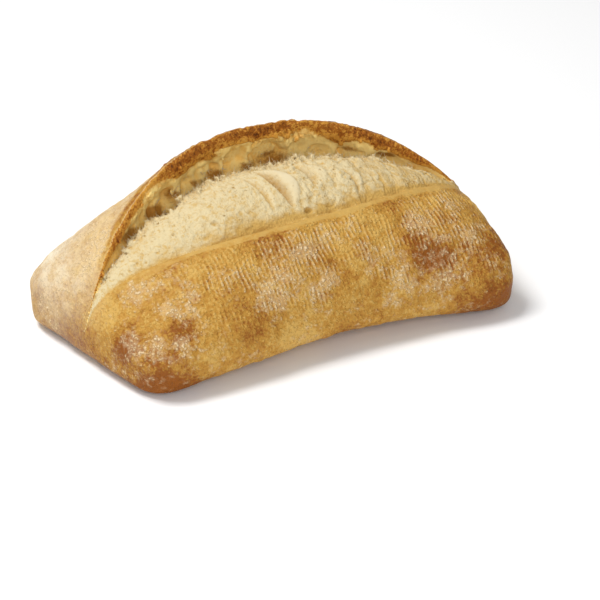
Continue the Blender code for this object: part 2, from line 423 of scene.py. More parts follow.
class CutEdges:
    """Where the lip, the crumb, the crevice and the rim run, as curves of y and z over x."""

    def __init__(self, skin, xs):
        self.skin = skin
        self.xs = xs
        for label, name in (("lip", "lip"), ("start", "crumb"), ("crevice", "inner"),
                            ("inside", "rim"), ("top", "back")):
            line = skin[:, first_of(name)]
            setattr(self, label + "_y", np.interp(xs, line[:, 0], line[:, 1]))
            setattr(self, label + "_z", np.interp(xs, line[:, 0], line[:, 2]))
        line = skin[:, first_of("inner") + SAMPLES["inner"] // 2]
        self.hollow_y = np.interp(xs, line[:, 0], line[:, 1])

    def over(self, here, *labels):
        """Curves over a stretch of cells along x."""
        return [getattr(self, label)[here].astype(np.float32)[:, None, None] for label in labels]

    def on_skin(self, name, x, share):
        """A point of the smooth skin, by its stretch, its x and its share of the stretch."""
        column = first_of(name) + share * SAMPLES[name]
        low = int(column)
        line = self.skin[:, low] + (self.skin[:, low + 1] - self.skin[:, low]) * (column - low)
        return np.array([np.interp(x, line[:, 0], line[:, axis]) for axis in range(3)])


# Relief of the crust, the crumb and the ear's face: spacing, seed, height, and how much higher
# it is on the crumb's right. In millimetres but for the seed.
CRUST_RELIEF = ((9, 11, 0.22, 0), (3.2, 12, 0.13, 0), (1.4, 13, 0.07, 0))
CRUMB_RELIEF = (
    ((7, 8, 7), 21, 0.28, 0.20),
    ((1.5, 7, 4), 22, 0.09, 0.08),
    ((2.6, 3.4, 2.6), 26, 0.07, 0.10),
    (1.2, 23, 0.11, 0),
)
FACE_RELIEF = (((1.3, 2.2, 4), 54, 0.22, 0), (1.3, 55, 0.17, 0))


def roughen_crust(block, edges, finish):
    """Waves, dimples and fine ridges round the crust. Gives how high the ridges stand."""
    cuts, (x, y, z) = block.window(*block.corners)
    lip_y, top_y = edges.over(cuts[0], "lip_y", "top_y")
    front = 1.0 - ramp(y, lip_y - 1.0 * MM, lip_y + 1.0 * MM)
    behind = ramp(y, top_y, top_y + 3.0 * MM)
    above_sole = ramp(z, 1.0 * MM, 5.0 * MM)
    block.depth -= block.layers(CRUST_RELIEF) * (np.maximum(front, behind) * above_sole)

    phase = block.noise((13, 9, 9), 14) * 1.7
    phase += block.noise((3.0, 5.0, 4.0), 19) * 0.5
    phase += 2 * math.pi * x / finish.ridge_spacing
    strength = ramp(block.noise((7, 5, 5), 15), -1.5, 0.8)
    strength = np.maximum(strength, 0.9 * ramp(z, 26 * MM, 34 * MM))
    strength *= 0.3 + 0.7 * ramp(x, -58 * MM, -36 * MM)
    beads = 1.0 + 0.6 * block.noise((1.5, 1.2, 1.2), 16)
    below_lip = 1.0 - ramp(y, lip_y - 4.5 * MM, lip_y - 3.0 * MM)
    band = np.maximum(below_lip, behind) * ramp(z, 14 * MM, 29 * MM)
    ridge = np.sin(phase) * strength * beads * band * (1.0 - 0.5 * behind)
    block.depth -= ridge * finish.ridge_depth
    return ridge


def crumb_fold(x, y, fold):
    """A fold in the crumb: how deep its crease is, which also sets the crease's painted shade,
    and how far a tongue rises beside it.
    """
    start_x, start_y, end_x, end_y, bow, width = (value * MM for value in fold[:6])
    down = (y - start_y) / (end_y - start_y)
    leaf = np.maximum(np.sin(np.clip(down, 0.0, 1.0) * math.pi), 0.0) ** 0.7
    beside = x - (start_x + (end_x - start_x) * down + bow * leaf)
    across = beside / (width * leaf + 0.1 * MM)
    crease = leaf * ramp(beside, -0.5 * MM, 0.1 * MM) * (1.0 - ramp(across, 0.05, 0.6))
    tongue = leaf * ramp(across, 0.25, 0.75) * (1.0 - ramp(across, 0.88, 1.04))
    return crease, tongue


def tear_crumb(block, edges):
    """The mound's lobes, folds, wrinkles, stretched strands and torn back edge."""
    cuts, (x, y, _) = block.slab(-24, 34, 20)
    lip, crevice = edges.over(cuts[0], "lip_y", "crevice_y")
    opened = np.clip((crevice - lip) / (38 * MM), 0.0, 1.0)
    crumb = ramp(y, lip + 0.8 * MM, lip + 3.0 * MM)
    crumb = crumb * (1.0 - ramp(y, crevice - 0.2 * MM, crevice + 0.8 * MM))
    across = np.clip((y - lip) / np.maximum(crevice - lip, MM), 0.0, 1.0)
    torn = ramp(across, 0.60, 0.85) * crumb
    right = ramp(x, -2 * MM, 12 * MM)

    relief = block.layers(CRUMB_RELIEF, cuts, right)
    wrinkles = np.abs(block.noise((4.2, 3.2, 3.4), 24, cuts))
    relief -= np.clip(0.4 - wrinkles, 0.0, 0.4) * (1.1 * right + 0.2) * MM
    shreds = block.noise((0.9, 1.2, 1.4), 25, cuts)
    relief = relief * crumb * (0.25 + 0.75 * opened)
    relief += np.clip(shreds - 0.5, 0.0, 2.0) * torn * 0.9 * MM
    for fold in CRUMB_FOLDS:
        crease, tongue = crumb_fold(x, y, fold)
        relief *= 1.0 - 0.8 * np.maximum(crease, tongue)
        relief += (0.6 * tongue - crease) * crumb * fold[-1] * MM
    block.depth[cuts] -= relief


def blown(x, share, high, bubbles):
    """How deep the bubbles reach at each place on the ear's face, in metres."""
    deepest = np.zeros(np.broadcast(x, share).shape, np.float32)
    for place, at_share, half_wide, half_high, reach in bubbles:
        across = ((x / MM - place) / half_wide) ** 2
        upward = ((share - at_share) * high / MM / half_high) ** 2
        deepest = np.maximum(deepest, reach * np.clip(1.0 - across - upward, 0.0, 1.0) ** 0.8)
    return deepest * MM


def open_ear(block, edges):
    """Carves the ear's face: bubbles with ragged walls between, and dark holes below."""
    cuts, (x, y, z) = block.slab(-12, 42, 20)
    crevice_y, crevice_z, inside_y, inside_z, hollow_y = (curve[:, :, 0] for curve in edges.over(
        cuts[0], "crevice_y", "crevice_z", "inside_y", "inside_z", "hollow_y"))
    x, z = x[:, :, 0], z[0]
    tall = np.maximum(inside_z - crevice_z, 0.3 * MM)
    share = (z - crevice_z) / tall
    within = np.clip(share, 0.0, 1.0)
    bent = hollow_y - (crevice_y + inside_y) / 2
    face = crevice_y + (inside_y - crevice_y) * within + bent * np.sin(math.pi * within)
    counts = (len(x), z.shape[1])
    cell = block.cell / MM

    def rough(along_x, along_z, seed):
        """Noise over the face, its spacings in millimetres."""
        return lattice_noise(counts, (along_x / cell, along_z / cell), seed)

    warp = rough(2.6, 2.6, 61) * 0.9 * MM
    carved = blown(x + warp, share, tall, EAR_BUBBLES)
    walls = ramp(-carved, -1.6 * MM, -0.3 * MM)
    carved += blown(x + warp, share, tall, TEAR_HOLES) * 0.7
    carved += rough(1.5, 3.2, 62) * 0.24 * MM + rough(1.1, 1.5, 63) * (0.15 + 0.30 * walls) * MM
    opened = np.clip(tall / (14 * MM), 0.0, 1.0)
    fade = ramp(share, 0.02, 0.2) * (1.0 - ramp(share + 0.04 * rough(3.0, 3.0, 64), 0.98, 1.14))
    carved = np.maximum(carved, 0.0) * fade * opened
    solid = block.depth[cuts] < 0.0
    back = y.ravel()[solid.shape[1] - 1 - np.argmax(solid[:, ::-1, :], axis=1)]
    carved = np.minimum(carved, np.maximum(back - face - LEAST_WALL, 0.0))
    face, carved = face[:, None, :], carved[:, None, :]
    removed = np.minimum(y - face + 0.5 * MM, face + carved - y)
    removed = np.where(carved > 0.05 * MM, removed, -MM).astype(np.float32)
    np.maximum(block.depth[cuts], removed, out=block.depth[cuts])


def prick_crumb(block, edges):
    """Digs the dents along the crumb's torn edge, and its pores."""
    for x, share, half_long, half_wide, deep in CRUMB_DENTS:
        centre = edges.on_skin("crumb", x * MM, share)
        block.dig(centre, np.array([half_long, half_wide, deep]) * MM, 1.0 * MM)
    random = np.random.default_rng(41)
    for radius_low, radius_high, count in PORES:
        for _ in range(count):
            share = random.uniform(0.12, 0.9)
            x = random.uniform(-74, 68) * MM
            radius = random.uniform(radius_low, radius_high) * MM
            centre = edges.on_skin("crumb", x, share)
            if abs(centre[0] - LEAF_MIDDLE) < LEAF_REACH:
                continue
            centre[2] += random.uniform(-0.3, 0.35) * radius
            shape = radius * np.array([random.uniform(0.7, 1.5), random.uniform(1.0, 2.2), 0.9])
            block.dig(centre, shape, 0.15 * MM)


def crack_rim(block, edges, finish):
    """The rough, cracked rim of the ear, and the fibrous face below it."""
    cuts, (_, y, z) = block.slab(-10, 40, 22)
    inside_y, inside_z, top_y, top_z, crevice_y, crevice_z = edges.over(
        cuts[0], "inside_y", "inside_z", "top_y", "top_z", "crevice_y", "crevice_z")
    opened = np.clip((top_z - crevice_z) / (20 * MM), 0.0, 1.0)
    near = 1.0 - ramp(np.abs(y - (inside_y + top_y) / 2), 2.5 * MM, 5.0 * MM)
    rim = near * ramp(z, inside_z - 2.0 * MM, inside_z + 0.4 * MM)
    crags = block.noise((4.5, 1.8, 1.5), 51, cuts) * 0.10
    crags += block.noise(0.9, 52, cuts) * 0.12
    inward = 1.3 * (1.0 - ramp(y, inside_y + 0.8 * MM, inside_y + 2.0 * MM))
    cracks = np.clip(0.3 - np.abs(block.noise((2.2, 2.4, 1.6), 53, cuts)), 0, 1)
    block.depth[cuts] -= (crags - cracks * inward) * rim * opened * finish.rim_roughness
    face = ramp(z, crevice_z, crevice_z + 2 * MM) * (1.0 - rim)
    face = face * ramp(y, crevice_y - 1 * MM, crevice_y + 1 * MM)
    face = face * (1.0 - ramp(y, top_y + 1 * MM, top_y + 2 * MM))
    block.depth[cuts] -= block.layers(FACE_RELIEF, cuts) * face * opened


def largest_island(points, quads):
    """The quads of the largest connected surface, without loose crumbs or inner holes."""
    label = np.arange(len(points))
    pairs = np.concatenate([quads[:, [0, 1]], quads[:, [1, 2]], quads[:, [2, 3]]])
    while True:
        lowest = np.minimum(label[pairs[:, 0]], label[pairs[:, 1]])
        before = label.copy()
        np.minimum.at(label, pairs[:, 0], lowest)
        np.minimum.at(label, pairs[:, 1], lowest)
        label = label[label]
        if np.array_equal(before, label):
            break
    return quads[label[quads[:, 0]] == np.bincount(label).argmax()]


def point_normals(points, quads):
    """Outward normals, averaged over the faces round each point."""
    corners = points[quads]
    across = np.cross(corners[:, 2] - corners[:, 0], corners[:, 3] - corners[:, 1])
    normals = np.zeros_like(points)
    for corner in range(4):
        for axis in range(3):
            normals[:, axis] += np.bincount(quads[:, corner], across[:, axis], len(points))
    return normals / np.maximum(np.linalg.norm(normals, axis=1, keepdims=True), 1e-12)


def sunk_below(points, quads, normals, rounds):
    """How far each point lies below the surface round it, smoothed a number of times."""
    pairs = np.concatenate([quads[:, [0, 1]], quads[:, [1, 2]], quads[:, [2, 3]],
                            quads[:, [3, 0]]])
    near_count = np.bincount(pairs.ravel(), minlength=len(points)).clip(1)
    smooth = points.copy()
    for _ in range(rounds):
        for axis in range(3):
            total = np.bincount(pairs[:, 0], smooth[pairs[:, 1], axis], len(points))
            total += np.bincount(pairs[:, 1], smooth[pairs[:, 0], axis], len(points))
            smooth[:, axis] = total / near_count
    return ((smooth - points) * normals).sum(axis=1)


def nearest_stretches(points, skin):
    """Which stretch of its section each point belongs to, and its share of the way along it."""
    samples = skin.reshape(-1, 3)
    tree = kdtree.KDTree(len(samples))
    for index, sample in enumerate(samples):
        tree.insert(sample, index)
    tree.balance()
    column = np.array([tree.find(point)[1] for point in points]) % skin.shape[1]
    starts = np.array([first_of(name) for name in NAMES])
    stretch = np.searchsorted(starts, column, side="right") - 1
    return stretch, (column - starts[stretch]) / np.array(list(SAMPLES.values()))[stretch]


def give_to_face(points, normals, stretch, share, edges):
    """Gives the ear's face the points of its back that turn towards the crumb."""
    foot = np.interp(points[:, 0], edges.xs, edges.crevice_z)
    head = np.interp(points[:, 0], edges.xs, edges.inside_z)
    facing = (stretch == NAMES.index("back")) & (normals[:, 1] < -FACING_CRUMB)
    facing &= (points[:, 2] > foot) & (points[:, 2] < head)
    stretch[facing] = NAMES.index("inner")
    share[facing] = ((points[:, 2] - foot) / np.maximum(head - foot, MM))[facing]


_baked = {}


def baked_roll():
    """The carved surface of the whole roll, made once: points, quads, normals and regions."""
    if _baked:
        return _baked
    scene = bpy.context.scene
    form, finish = scene.bolillo_form, scene.bolillo_crust
    skin = smooth_skin(form)
    cell = form.cell
    block = Block(skin, cell)
    smooth_depth = block.depth.copy()
    edges = CutEdges(skin, block.axes[0])
    ridge = roughen_crust(block, edges, finish)
    tear_crumb(block, edges)
    open_ear(block, edges)
    prick_crumb(block, edges)
    crack_rim(block, edges, finish)
    points, quads = block.surface()
    quads = largest_island(points, quads)
    normals = point_normals(points, quads)
    cells = np.rint(points / cell).astype(int) - np.array(block.low)
    cells = tuple(np.clip(cells, 0, np.array(block.depth.shape) - 1).T)

    stretch, share = nearest_stretches(points, skin)
    give_to_face(points, normals, stretch, share, edges)

    low, high = skin.min(axis=(0, 1)), skin.max(axis=(0, 1))
    shift = (np.array(CAD_LOW) + np.array(CAD_HIGH)) / 2 - (low + high) / 2
    shift[2] = -low[2]
    rounds = round((SMOOTHING_REACH / cell) ** 2)
    ear_size = np.interp(points[:, 0], edges.xs, edges.top_z - edges.crevice_z) / form.ear_height
    _baked.update(
        points=points, shift=shift, quads=quads, normals=normals, stretch=stretch, share=share,
        ridge=ridge[cells], deep=-smooth_depth[cells] / MM, ear_size=ear_size,
        wander=block.noise(5, 17)[cells], drift=block.noise(16, 18)[cells],
        # The hollow also drives painted shade in the materials.
        hollow=sunk_below(points, quads, normals, rounds) / MM,
    )
    return _baked


def mesh_piece(name, points, faces, normals, masks):
    """A mesh object with smooth shading and a float mask for each entry of masks."""
    sides = faces.shape[1]
    mesh = bpy.data.meshes.new(name)
    mesh.vertices.add(len(points))
    mesh.vertices.foreach_set("co", points.astype(np.float32).ravel())
    mesh.loops.add(faces.size)
    mesh.loops.foreach_set("vertex_index", faces.astype(np.int32).ravel())
    mesh.polygons.add(len(faces))
    mesh.polygons.foreach_set("loop_start", np.arange(0, faces.size, sides, dtype=np.int32))
    mesh.update(calc_edges=True)
    mesh.shade_smooth()
    if normals is not None:
        mesh.normals_split_custom_set_from_vertices(normals.tolist())
    for mask, values in masks.items():
        layer = mesh.attributes.new(mask, "FLOAT", "POINT")
        layer.data.foreach_set("value", values.astype(np.float32))
    piece = bpy.data.objects.new(name, mesh)
    bpy.context.scene.collection.objects.link(piece)
    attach(piece, "root")
    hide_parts("bolillo_roll")
    return piece


def carved_piece(name, stretches, masks, shares=(0.0, 2.0)):
    """A piece from the quads whose first corner lies in the stretches, between two shares."""
    roll = baked_roll()
    wanted = [NAMES.index(stretch) for stretch in stretches]
    corner = roll["quads"][:, 0]
    inside = (roll["share"][corner] >= shares[0]) & (roll["share"][corner] < shares[1])
    quads = roll["quads"][np.isin(roll["stretch"][corner], wanted) & inside]
    used, faces = np.unique(quads, return_inverse=True)
    masks = {mask: values[used] for mask, values in masks.items()}
    return mesh_piece(name, roll["points"][used] + roll["shift"], faces.reshape(-1, 4),
                      roll["normals"][used], masks)


def shred_points(roots, leaning, lengths, widths, random):
    """Thin bent strands that taper from their roots: points, and the quads between rings."""
    count, rings, sides = len(roots), 5, 4
    bend = random.normal(0.0, 0.45, (count, 3)) * lengths[:, None]
    across = np.cross(leaning, random.normal(size=(count, 3)))
    across /= np.linalg.norm(across, axis=1, keepdims=True)
    over = np.cross(leaning, across)
    points = np.empty((count, rings, sides, 3))
    for ring, t in enumerate(np.linspace(0.0, 1.0, rings)):
        centre = roots + leaning * (lengths * t)[:, None] + bend * t * t
        radius = widths * max(1.0 - t, 0.12) ** 0.8
        for side in range(sides):
            angle = 2 * math.pi * side / sides
            spread = across * math.cos(angle) + over * math.sin(angle) * 0.6
            points[:, ring, side] = centre + spread * radius[:, None]
    here = np.arange(count * rings * sides).reshape(count, rings, sides)
    beside = np.roll(here, -1, axis=2)
    quads = np.stack([here[:, :-1], beside[:, :-1], beside[:, 1:], here[:, 1:]], -1)
    ends = here[:, -1, :]
    return points.reshape(-1, 3), np.concatenate([quads.reshape(-1, 4), ends.reshape(-1, 4)])


# Soft patches: place and radii in x, y and z, in millimetres before the roll is centred, and
# strength. First where the crust is browner.
BROWN_PATCHES = (
    (-68, -38, 4, 15, 12, 10, 1.35), (-66, -37, 13, 10, 10, 9, 1.0),
    (-75, -24, 16, 8, 9, 8, 0.9), (-58, -33, 22, 8, 8, 7, 0.8), (17, -31, 34, 5, 6, 6, 0.4),
    (45, -37, 27, 10, 9, 9, 0.75), (58, -26, 36, 9, 8, 6, 0.35), (66, -46, 9, 16, 14, 8, 0.9),
    (73, -34, 24, 12, 18, 15, 0.6), (-82, 0, 6, 8, 34, 10, 0.5), (20, -40, 6, 60, 9, 8, 0.2),
)

# Where the flour sits thick, or thin where the strength is below 0.
FLOUR_PATCHES = (
    (-51, -21, 35, 5, 6, 4, 0.42), (-51, -27, 31, 5, 6, 4, 0.38), (-61, -24, 28, 6, 6, 4, 0.65),
    (-57, -29, 27, 6, 6, 4, 0.55), (-52, -33, 25, 5, 6, 5, 0.5), (-66, -15, 30, 6, 6, 5, 0.5),
    (-60, -16, 33, 5, 6, 4, 0.38), (-67, -33, 20, 5, 6, 5, 0.55), (-59, -37, 19, 6, 6, 5, 0.45),
    (-63, -38, 13, 5, 6, 4, 0.2), (-74, -25, 18, 4, 7, 5, 0.45), (-66, -41, 7, 9, 8, 6, 0.15),
    (-38, -25, 36, 9, 7, 5, 0.38), (-28, -27, 36, 8, 7, 5, 0.38), (-25, -33, 29, 6, 6, 5, 0.5),
    (-20, -36, 25, 5, 6, 5, 0.6), (-14, -30, 33, 8, 7, 6, 0.55), (-8, -37, 24, 5, 6, 4, 0.45),
    (-3, -28, 37, 6, 6, 5, 0.6), (1, -35, 28, 6, 6, 5, 0.65), (6, -25, 39, 6, 6, 5, 0.65),
    (21, -33, 31, 8, 7, 6, 0.6), (30, -38, 24, 6, 6, 6, 0.55), (23, -41, 17, 4, 6, 4, 0.5),
    (42, -28, 36, 7, 7, 6, 0.5), (59, -32, 31, 7, 7, 6, 0.45), (60, -22, 37, 8, 7, 6, 0.5),
    (-65, 12, 38, 13, 8, 10, 1.1), (-60, 24, 32, 20, 14, 12, 0.45),
    (74, -40, 14, 22, 24, 18, -0.2),
)

# Painted shadows of the dark tears between the crumb and the ear.
TEAR_SHADOWS = (
    (13, 25, 47.5, 8, 8, 4.0, 1.2), (2, 26, 47.0, 4, 8, 3.0, 0.8),
    (-11, 25, 47.0, 4, 8, 3.0, 1.0), (-20, 24, 46.0, 4, 8, 2.5, 0.7),
    (-31, 22, 45.0, 4, 8, 2.4, 0.9), (-41, 18, 42.0, 6, 8, 3.0, 1.2),
    (-54, 13, 38.5, 6, 8, 3.0, 1.1), (29, 22, 48.0, 5, 6, 2.0, 0.6),
    (41, 17, 48.0, 5, 6, 2.0, 0.8), (54, 11, 46.0, 6, 6, 2.5, 1.0),
)
PATCH_FALL = 1.6


def patches(points, rows):
    """The strengths of all patches at each point, fading beyond their radii."""
    total = np.zeros(len(points))
    for *centre, wide, deep, high, strength in rows:
        reach = ((points / MM - centre) / (wide, deep, high)) ** 2
        total += strength * np.exp(-PATCH_FALL * reach.sum(axis=1))
    return total


def crust_masks(roll):
    """Browning, flour and relief over the crust, at each point."""
    points, stretch, share = roll["points"], roll["stretch"], roll["share"]
    x, y, height = (points / MM).T
    behind = ramp(y, 0.0, 15.0)
    brown = 0.10 + (0.05 + 0.06 * behind) * roll["drift"]
    brown += patches(points, BROWN_PATCHES)
    flour = 0.12 + 0.10 * roll["drift"] + 0.08 * roll["wander"]
    flour += 0.36 * behind * ramp(roll["wander"] + 0.6 * roll["drift"], 0.0, 1.6)
    flour += patches(points, FLOUR_PATCHES)
    brown += 0.35 * (1.0 - ramp(height, 1.0, 7.0))
    flour *= ramp(height, 1.0, 6.0)
    on_front = stretch == NAMES.index("front")
    wandering = share + 0.010 * roll["wander"] + 0.010 * roll["drift"]
    lip_band = on_front * ramp(wandering, 0.94, 0.955)
    lip_band = np.maximum(lip_band, stretch == NAMES.index("lip"))
    lip_band = lip_band * (0.25 + 0.75 * ramp(x, -66.0, -38.0))
    brown += 0.10 * on_front * ramp(share, 0.87, 0.935) * (1.0 - ramp(wandering, 0.94, 0.955))
    rim_edge = (stretch == NAMES.index("back")) * ramp(roll["ear_size"], 0.1, 0.4)
    rim_edge = rim_edge * (1.0 - ramp(share + 0.008 * roll["wander"], 0.02, 0.07))
    brown += (0.45 + 0.65 * ramp(x, -52.0, -12.0)) * rim_edge
    pale = ramp(y + 0.8 * np.maximum(-x - 62.0, 0.0), -2.0, 26.0)
    pale = pale * (0.3 + 0.7 * ramp(-x, 15.0, 45.0))
    pale *= (0.85 + 0.3 * roll["drift"]) * (0.2 + 0.86 * ramp(height, 8.0, 31.0))
    pale = np.clip(pale * (1.0 - rim_edge), 0.0, 1.0)
    return {"brown": brown, "flour": flour * (1.0 - rim_edge), "lip_band": lip_band,
            "pale": pale, "ridge": roll["ridge"], "hollow": roll["hollow"]}


def crumb_masks(roll):
    """Toasting and relief of the crumb, and the painted shade of its creases, at each point."""
    points, share = roll["points"], roll["share"]
    x = points[:, 0] / MM
    wander = roll["wander"]
    toast = 0.35 * ramp(x, 5, 50) + 0.25 * ramp(-share, -0.22, -0.05) + 0.2 * ramp(x, 52, 72)
    toast += 0.8 * (1.0 - ramp(share + 0.02 * wander, 0.0, 0.12)) * ramp(x, -50.0, 0.0)
    membrane, crease_shades = np.zeros(len(points)), np.zeros(len(points))
    for fold in CRUMB_FOLDS:
        crease, tongue = crumb_fold(points[:, 0], points[:, 1], fold)
        strength = min(1.0, fold[-1] / DEEPEST_FOLD) ** 1.5
        membrane = np.maximum(membrane, tongue * strength)
        crease_shades = np.maximum(crease_shades, crease * strength)
    return {"toast": toast, "membrane": membrane, "hollow": roll["hollow"], "crease": crease_shades}


def ear_masks(roll):
    """How much each point of the ear belongs to its dark rim, how deep it lies, the painted
    light over the face's right, and the painted shade of the tears.
    """
    stretch, share, x = roll["stretch"], roll["share"], roll["points"][:, 0] / MM
    on_rim, on_face = (stretch == NAMES.index(name) for name in ("rim", "inner"))
    uneven = share + 0.14 * roll["wander"]
    bake = 0.36 + 0.14 * ramp(x, -55.0, -5.0) + 0.06 * roll["wander"]
    rim = np.where(on_rim, bake + 0.55 * ramp(uneven, 0.0, 0.5),
                   np.where(on_face, bake * ramp(uneven, 0.84, 1.0), 0.0))
    # Painted light: the face is lightened towards the right.
    bright = 0.35 + 0.65 * ramp(x, 4.0, 34.0)
    # Painted shade of the tears, and lower on the face near the crevice.
    root = 0.15 * (1.0 - ramp(share, 0.2, 0.6)) + patches(roll["points"], TEAR_SHADOWS)
    return {"rim": rim, "hollow": roll["hollow"], "deep": roll["deep"], "bright": bright,
            "root": root * on_face}


class Value:
    """A number in a shader, so that sums of numbers are written as sums."""

    def __init__(self, tree, socket):
        self.tree = tree
        self.socket = socket

    def _joined(self, operation, other, swapped=False):
        node = self.tree.nodes.new("ShaderNodeMath")
        node.operation = operation
        for index, item in enumerate((other, self) if swapped else (self, other)):
            feed(self.tree, node.inputs[index], item)
        return Value(self.tree, node.outputs[0])

    def __add__(self, other):
        return self._joined("ADD", other)

    def __mul__(self, other):
        return self._joined("MULTIPLY", other)

    def __sub__(self, other):
        return self._joined("SUBTRACT", other)

    def __rsub__(self, other):
        return self._joined("SUBTRACT", other, swapped=True)

    def at_least(self, other):
        """The larger of the two."""
        return self._joined("MAXIMUM", other)


def feed(tree, socket, item):
    """Sets an input from a value, a link or a colour of three numbers."""
    if isinstance(item, Value):
        item = item.socket
    if isinstance(item, bpy.types.NodeSocket):
        tree.links.new(item, socket)
    elif socket.type == "RGBA":
        socket.default_value = (*item[:3], 1.0)
    else:
        socket.default_value = item


class Paint:
    """A short way to lay nodes in a material or a group."""

    def __init__(self, tree):
        self.tree = tree

    def add(self, kind, settings=None, **sockets):
        """A node with its settings, and its sockets given as values or links."""
        node = self.tree.nodes.new(kind)
        for key, value in (settings or {}).items():
            setattr(node, key, value)
        for key, value in sockets.items():
            feed(self.tree, node.inputs[key.replace("_", " ")], value)
        return node

    def span(self, value, start, stop, low=0.0, high=1.0):
        """A value mapped smoothly from one range to another."""
        node = self.add("ShaderNodeMapRange", {"interpolation_type": "SMOOTHSTEP"}, Value=value,
                        From_Min=start, From_Max=stop, To_Min=low, To_Max=high)
        return Value(self.tree, node.outputs[0])

    def mix(self, share, a, b):
        """A colour between two colours."""
        node = self.add("ShaderNodeMix", {"data_type": "RGBA", "blend_type": "MIX"})
        for index, value in ((0, share), (6, a), (7, b)):
            feed(self.tree, node.inputs[index], value)
        return node.outputs[2]

    def noise(self, place, scale, detail=2.0, roughness=0.5, distortion=0.0):
        """Cloudy noise, from 0 to 1."""
        node = self.add("ShaderNodeTexNoise", Vector=place, Scale=scale, Detail=detail,
                        Roughness=roughness, Distortion=distortion)
        return Value(self.tree, node.outputs[0])

    def cells(self, place, scale):
        """Distance in a pattern of cells."""
        node = self.add("ShaderNodeTexVoronoi", {"feature": "F1"}, Vector=place, Scale=scale,
                        Randomness=1.0)
        return Value(self.tree, node.outputs["Distance"])

    def mask(self, name):
        """A mask that was laid on the mesh."""
        node = self.add("ShaderNodeAttribute", {"attribute_name": name})
        return Value(self.tree, node.outputs["Fac"])

    def group(self, name, make, **sockets):
        """A shared group, made on first use, and its first output."""
        tree = bpy.data.node_groups.get(name) or make(name)
        node = self.add("ShaderNodeGroup", {"node_tree": tree}, **sockets)
        return Value(self.tree, node.outputs[0]), node


def new_group(name, inputs, outputs):
    """An empty shader group with named sockets, and the paint for it."""
    tree = bpy.data.node_groups.new(name, "ShaderNodeTree")
    for label, default in inputs:
        kind = "NodeSocketVector" if default is None else "NodeSocketFloat"
        socket = tree.interface.new_socket(label, in_out="INPUT", socket_type=kind)
        if default is not None:
            socket.default_value = default
    for label in outputs:
        tree.interface.new_socket(label, in_out="OUTPUT", socket_type="NodeSocketFloat")
    start = tree.nodes.new("NodeGroupInput")
    end = tree.nodes.new("NodeGroupOutput")
    return Paint(tree), start.outputs, end.inputs


def blotches_group(name):
    """Uneven baking at three sizes, about 0 on average."""
    paint, given, wanted = new_group(name, [("Place", None), ("Size", 1.0)], ["Blotches"])
    place = paint.add("ShaderNodeVectorMath", {"operation": "SCALE"}, Scale=given["Size"])
    feed(paint.tree, place.inputs[0], given["Place"])
    wide = paint.noise(place.outputs[0], 45.0, 3.0, 0.6)
    fine = paint.noise(place.outputs[0], 320.0, 3.0, 0.65)
    feed(paint.tree, wanted["Blotches"], wide * 1.3 + fine * 0.7 - 1.0)
    return paint.tree


def pebbles_group(name):
    """Small round pebbles, as on crust that blistered in the steam."""
    paint, given, wanted = new_group(name, [("Place", None), ("Scale", 800.0)], ["Pebbles"])
    bent = paint.add("ShaderNodeTexNoise", Vector=given["Place"], Scale=700.0)
    shifted = paint.add("ShaderNodeVectorMath", {"operation": "MULTIPLY_ADD"})
    for index, value in enumerate((bent.outputs["Color"], (0.0012, 0.0012, 0.0012),
                                   given["Place"])):
        feed(paint.tree, shifted.inputs[index], value)
    cells = paint.cells(shifted.outputs[0], given["Scale"])
    feed(paint.tree, wanted["Pebbles"], paint.span(cells, 0.1, 0.62, 1.0, 0.0))
    return paint.tree


def dusting_group(name):
    """Flour: it clings to the pebbles, in lacy clumps where the amount is high."""
    paint, given, wanted = new_group(
        name, [("Place", None), ("Amount", 0.3), ("Pebbles", 0.5)], ["Flour", "Height"])
    place = given["Place"]
    amount, pebbles = (Value(paint.tree, given[label]) for label in ("Amount", "Pebbles"))
    grains = paint.noise(place, 1300.0, 2.0, 0.7)
    clumps = paint.noise(place, 330.0, 4.0, 0.68, 0.25)
    drifts = paint.noise(place, 110.0, 2.0, 0.6)
    veil = paint.span(clumps + drifts * 0.45 + amount * 0.45, 0.82, 1.06)
    flour = veil * paint.span(grains + pebbles * 0.35, 0.45, 0.85, 0.25, 1.0)
    feed(paint.tree, wanted["Flour"], flour)
    feed(paint.tree, wanted["Height"], flour * grains)
    return paint.tree


def new_material(name, roughness, shine, baking_size):
    """A material with its paint, its shader, the place on the object and its uneven baking."""
    material = bpy.data.materials.new(name)
    material.use_nodes = True
    paint = Paint(material.node_tree)
    shader = material.node_tree.nodes["Principled BSDF"]
    shader.inputs["Roughness"].default_value = roughness
    shader.inputs["Specular IOR Level"].default_value = shine
    place = paint.add("ShaderNodeTexCoord").outputs["Object"]
    blotches, _ = paint.group("Uneven baking", blotches_group, Place=place, Size=baking_size)
    return material, paint, shader, place, blotches


def finished(paint, shader, height, distance, strength=1.0, **inputs):
    """Feeds the shader's inputs, and a height to its normal."""
    bump = paint.add("ShaderNodeBump", Height=height, Distance=distance, Strength=strength)
    for name, value in (("Normal", bump.outputs[0]), *inputs.items()):
        feed(paint.tree, shader.inputs[name.replace("_", " ")], value)


